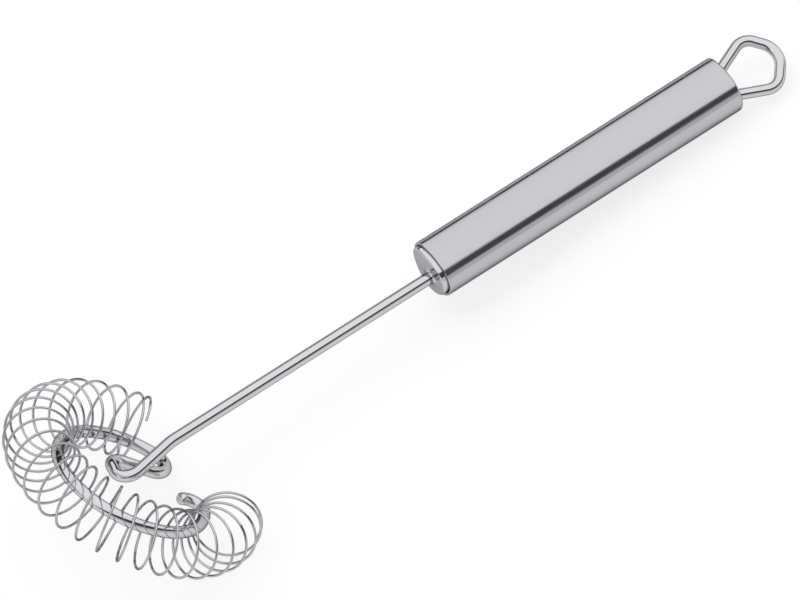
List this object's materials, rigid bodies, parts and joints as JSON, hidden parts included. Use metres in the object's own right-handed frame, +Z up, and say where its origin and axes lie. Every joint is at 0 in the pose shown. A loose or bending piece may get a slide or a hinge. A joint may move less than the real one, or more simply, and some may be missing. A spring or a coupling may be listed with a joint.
{
  "type": "spiral whisk",
  "caption": "Steel whisk lying at rest: hollow egg-section handle with hanging loop, round stem bent into an open ring, and a loose coil spring threaded over the ring.",
  "frame": {"origin": "middle of the foot of the bounding box, on the table that the whisk lies on", "axes": "+X along the table from the spring head to the hanging loop, +Z up from the table, +Y across"},
  "size_m": [0.2782, 0.0824, 0.0533],
  "materials": {
    "brushed_tube": "fine matt brushed stainless steel",
    "polished_cap": "polished stainless steel",
    "polished_wire": "drawn and polished stainless wire",
    "spring_wire": "bright drawn spring wire"
  },
  "bodies": {
    "frame": {"handle_tube": "brushed_tube", "front_cap": "polished_cap", "rear_cap": "brushed_tube", "hanging_loop": "polished_wire", "whisk_wire": "polished_wire", "stem_weld": "polished_cap"},
    "spring": {"whisk_spring": "spring_wire"}
  },
  "joints": [
    {"name": "spring_slide", "type": "hinge", "parent": "frame", "child": "spring", "pos_m": [-0.10596, 0.00006, 0.02195], "axis": [0.6488, 0, 0.7609], "range_deg": [-10, 0]}
  ]
}
